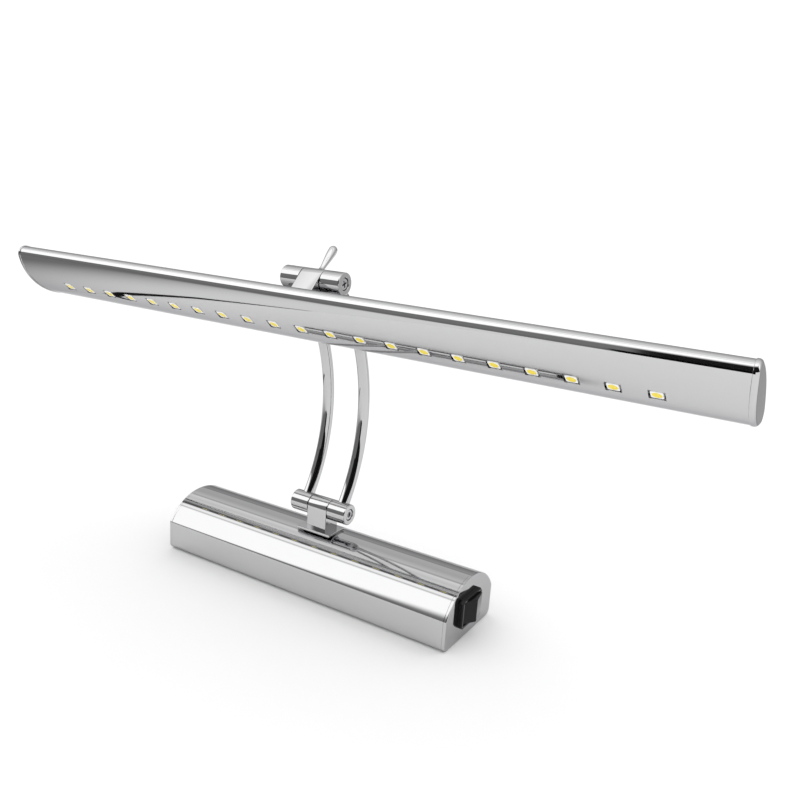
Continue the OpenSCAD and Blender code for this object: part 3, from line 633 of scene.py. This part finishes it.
makePiece("tubeShell", tubeQuads(), "head", tubeChrome, ["tube_shell"])
makePiece("leftEndCap", capQuads(-1), "head", tubeChrome, ["left_end_cap"])
makePiece("rightEndCap", capQuads(1), "head", tubeChrome, ["right_end_cap"])
direction = 90 - tubeSet["tilt"] - tubeSet["lean"]
headKnuckle = knuckleQuads(hingeSet["up"], direction, tubeReach)
makePiece("headKnuckle", headKnuckle, "head", chrome, ["head_knuckle"])
makePiece("tiltLever", leverQuads(), "head", chrome, ["tilt_lever"])
ledPlaces = (np.arange(tubeSet["ledCount"]) - (tubeSet["ledCount"] - 1) / 2) * tubeSet["ledPitch"]
leds = [ledQuads(x) for x in ledPlaces]
makePiece("ledBodies", [q for q, _ in leds], "head", ledBody, ["led_packages"])
makePiece("ledPhosphors", [q for _, q in leds], "head", ledPhosphor, ["led_phosphors"])
print("head made")


# ---- switch ----

def cutRect(length, height, cut, k=switchSet):
    # A rectangle in y-z round the switch's middle, with its corners cut off
    parts = []
    for sy, sz in ((1, -1), (1, 1), (-1, 1), (-1, -1)):
        corner = np.array([[0, -sz * cut], [-sy * cut, 0]])
        corner = corner if sy == sz else corner[::-1]
        parts.append(corner + [k["y"] + sy * length / 2, k["z"] + sz * height / 2])
    whole = []
    for i, part in enumerate(parts):
        whole += [part[:1], edge(*part), part[1:], edge(part[1], parts[(i + 1) % 4][0])]
    return np.concatenate(whole)


def housingQuads(k=switchSet, b=baseSet):
    # From the back of the body to the bezel's sloped and rounded rim, and down into the pit
    face = b["length"] / 2
    top = face + k["out"]
    s = k["slope"]

    def at(x, grow, cut):
        return (x, cutRect(k["length"] + 2 * grow, k["height"] + 2 * grow, cut))

    def body(x, grow=0.0):
        return (x, cutRect(k["bodyLength"] + grow, k["bodyHeight"] + grow, 0.6))

    def pit(x, grow=0.0):
        return (x, cutRect(k["pitLength"] + grow, k["pitHeight"] + grow, 0.5))
    back, floor = face - k["depth"], face - k["pitDepth"]
    rows = [body(back, -0.4), body(back + 0.2), body(face + 0.02), at(face + 0.02, -0.08, 1.5),
            at(face + 0.1, 0, 1.5), at(face + 0.2, 0, 1.5), at(top - 0.55, 0, 1.5),
            at(top - 0.45, -0.03, 1.5), at(top - 0.3, -s + 0.1, 1.45), at(top - 0.1, -s - 0.02, 1.4),
            at(top, -s - 0.12, 1.35),
            at(top, -s - 0.2, 1.3), pit(top, 0.4), pit(top - 0.06, 0.25), pit(top - 0.2, 0.05),
            pit(top - 0.35), pit(floor + 0.1), pit(floor, -0.3)]
    points = loft(rows)
    middle = np.array([0.0, k["y"], k["z"]])
    first, last = (spread(middle + [x, 0, 0], points[0]) for x in (back, floor))
    return [grid(np.concatenate([first[None], points, last[None]]), closeCols=True)]


def rockerQuads(k=switchSet, b=baseSet):
    # A bar with a ridge across its middle and round ends, with rounded edges, turned on its axle
    reach = np.sqrt(k["rockerR"] ** 2 - 3.0 ** 2)
    low = k["ridge"] - (k["ridge"] - k["low"]) * 8.15 / 9
    end = np.sqrt(k["rockerR"] ** 2 - low ** 2)
    ridge = k["ridge"]
    slope = np.linspace([low, -end], [ridge - 0.12, -0.3], 12)
    face = np.concatenate([slope, [[ridge - 0.03, -0.12], [ridge, 0]]])
    outside = np.concatenate([face, face[::-1][1:] * [1, -1]])
    inside = np.stack([np.full(9, -3.0), np.linspace(1, -1, 9) * reach], axis=1)
    rightSide = arc(0, 0, k["rockerR"], *np.degrees(np.arctan2([end, reach], [low, -3.0])), 8)
    outline = np.concatenate([outside, rightSide[1:-1], inside, (rightSide * [1, -1])[::-1][1:-1]])
    half = k["rockerHeight"] / 2
    turn = np.radians([90, 60, 30, 0])

    def ring(z, inset):
        shrink = 1 - inset / 6
        return np.column_stack([outline[:, 0] - inset * (outline[:, 0] > 0), outline[:, 1] * shrink,
                                np.full(len(outline), z)])
    f = 0.35
    rows = [spread([0, 0, -half], outline)]
    rows += [ring(-half + f * (1 - np.sin(a)), f * (1 - np.cos(a))) for a in turn]
    rows += [ring(half - f * (1 - np.sin(a)), f * (1 - np.cos(a))) for a in turn[::-1]]
    rows += [spread([0, 0, half], outline)]
    bar = np.stack(rows)
    tip = half + 1
    axle = lathe([(-tip, 0), (-tip, 0.9), (-tip + 0.1, 1), (tip - 0.1, 1), (tip, 0.9), (tip, 0)], 32)
    axle = np.stack([axle[..., 1], axle[..., 2], axle[..., 0]], axis=-1)
    lean = -np.radians(k["tilt"])
    out = []
    for points in (bar, axle):
        x = points[..., 0] * np.cos(lean) - points[..., 1] * np.sin(lean) + b["length"] / 2 + k["pivot"]
        y = points[..., 0] * np.sin(lean) + points[..., 1] * np.cos(lean) + k["y"]
        out.append(grid(np.stack([x, y, points[..., 2] + k["z"]], axis=-1), closeCols=True))
    return out


makePiece("switchHousing", housingQuads(), "base", blackPlastic, ["switch_housing"])
makePiece("switchRocker", rockerQuads(), "rocker", blackPlastic, ["switch_rocker"])
print("switch made")


# ---- finishes of the nodes that stay ----

stays = {"back_plate": zincSteel, "foot_clamp_plate": zincSteel, "foot_screws": zincSteel,
         "knuckle_saddle": zincSteel, "knuckle_screws": zincSteel, "cable_grommet": greyRubber,
         "driver_case": whitePlastic, "driver_lid": whitePlastic, "driver_board": greenBoard,
         "terminal_block": ivoryPlastic, "terminal_screws": brassContact, "switch_terminals": brassContact,
         "base_leads": leadCover, "arm_lead": leadCover, "head_lead": leadCover,
         "lower_friction_washers": washerNylon, "upper_friction_washers": washerNylon,
         "heat_spreader": bareAluminium, "led_board": whiteBoard}
for node, material in stays.items():
    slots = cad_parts[node].material_slots
    for place in slots:
        place.material = material
print("nodes finished")


# ---- camera, floor and light ----

cameraSet = {"place": (0.23366, -0.32618, 0.20682), "lens": 36.60, "shift": (-0.0030, -0.0009),
             "right": (0.85175, 0.51935, 0.06932), "up": (-0.18855, 0.18038, 0.96535),
             "back": (0.48885, -0.83531, 0.25157)}
camera = bpy.data.objects.new("camera", bpy.data.cameras.new("camera"))
bpy.context.scene.collection.objects.link(camera)
turn = Matrix([cameraSet["right"], cameraSet["up"], cameraSet["back"]]).transposed()
camera.matrix_world = Matrix.Translation(cameraSet["place"]) @ turn.to_4x4()
camera.data.sensor_width = 36
camera.data.lens = cameraSet["lens"]
camera.data.shift_x, camera.data.shift_y = cameraSet["shift"]
camera.data.clip_start = 0.01
bpy.context.scene.camera = camera

floorMesh = bpy.data.meshes.new("floor")
floorMesh.from_pydata([(-6, -6, 0), (6, -6, 0), (6, 6, 0), (-6, 6, 0)], [], [(0, 1, 2, 3)])
floor = bpy.data.objects.new("floor", floorMesh)
floor.location.z = -0.0002
bpy.context.scene.collection.objects.link(floor)
floorMesh.materials.append(finish("floorPaper", plastic, (0.9, 0.9, 0.9), 0.9, 0.05, 0.01, 3))

world = bpy.data.worlds.new("studio")
bpy.context.scene.world = world
world.use_nodes = True
sky = Bench(world.node_tree)
wx, wy, wz = sky.split(sky.node("ShaderNodeTexCoord", out="Generated"))
# Height of a direction as a turn round the X axis: 0 in front, 0.5 overhead and 1 behind
roll = sky.math("ARCTAN2", wz, -1 * wy) * (1 / np.pi)
nearRight = sky.step(wx, -0.255, -0.235)
lowFront = 0.25 - nearRight * 0.238
rampAt = 0.155 + sky.step(wx, -0.75, 0.0) * 0.13
soft = 0.012 + sky.step(wx, -0.6, -0.2) * 0.05
box = sky.step(roll, rampAt - soft, rampAt + soft)
shades = sky.node("ShaderNodeValToRGB", {"stops": [
    (0.0, 0.95), (0.40, 0.95), (0.415, 0.42), (0.43, 0.85), (0.49, 0.72), (0.50, 0.40), (0.515, 0.62),
    (0.58, 0.50), (0.63, 0.62), (0.645, 0.30), (0.67, 0.46), (0.74, 0.36), (0.84, 0.42), (0.85, 0.20),
    (0.87, 0.30), (1.0, 0.22)]}, {"Fac": roll})
upper = shades * 1.85
# A tall dark panel to the right of the front, narrower towards the ground
side = sky.math("ARCTAN2", wx, -1 * wy) * (180 / np.pi)
width = 1.0 + sky.step(wz, -0.1, 0.7) * 7
middle = sky.math("ABSOLUTE", side - 41, 0)
panel = (1 - sky.step(middle, width - 1, width + 1)) * (1 - sky.step(wz, 0.80, 0.84))
light = (lowFront * (1 - box) + upper * box) * (1 - panel * 0.99)
seen = sky.node("ShaderNodeLightPath", out="Is Glossy Ray")
roomGlow = 1.21
strength = roomGlow + seen * (light - roomGlow)
glow = sky.node("ShaderNodeBackground", {}, {"Color": (1, 1, 1, 1), "Strength": strength})
sky.node("ShaderNodeOutputWorld", {}, {"Surface": glow})


def makeCard(name, corners, near, far=None, reach=1.0):
    # A glowing sheet that only polished metal sees; from its first corner its value runs from near to far
    sheet = bpy.data.meshes.new(name)
    sheet.from_pydata(corners, [], [tuple(range(len(corners)))])
    material = bpy.data.materials.new(name)
    material.use_nodes = True
    bench = Bench(material.node_tree)
    value = near
    if far is not None:
        x, y, _ = bench.split(bench.node("ShaderNodeTexCoord", out="Object"))
        along = (corners[0][1] - y) * 0.6 + (corners[0][0] - x) * 0.8
        value = near + (far - near) * bench.step(along, 0.0, reach)
    glow = bench.node("ShaderNodeEmission", {}, {"Strength": value})
    bench.node("ShaderNodeOutputMaterial", {}, {"Surface": glow})
    sheet.materials.append(material)
    card = bpy.data.objects.new(name, sheet)
    bpy.context.scene.collection.objects.link(card)
    card.visible_camera = card.visible_diffuse = card.visible_shadow = card.visible_transmission = False


def upright(x0, x1, y, top):
    return [(x0, y, 0), (x1, y, 0), (x1, y, top), (x0, y, top)]


def lying(z, *places):
    return [(x, y, z) for x, y in places]


makeCard("frontCard", upright(0.03, 0.24, -0.45, 0.16), 0.004)
makeCard("leftFrontCard", upright(-2.5, 0.03, -0.45, 0.16), 0.22)
makeCard("backCard", upright(0.22, 1.2, 0.30, 0.5), 0.62)
makeCard("sheetEdge", lying(0.001, (-0.302, 0.015), (-0.60, 0.255), (-2.5, 0.255), (-2.5, -0.45),
                            (0.03, -0.45), (0.03, -0.262), (-0.126, -0.142)), 1.0, 0.25, 0.30)
makeCard("sheetLine", lying(0.002, (-0.128, -0.144), (-0.217, -0.094), (-0.287, -0.026), (-0.31, 0.015),
                            (-0.297, 0.036), (-0.282, 0.042), (-0.29, 0.017), (-0.274, -0.014),
                            (-0.212, -0.082), (-0.126, -0.142)), 0.01)
bpy.context.scene.view_settings.view_transform = "Standard"
print("studio made")
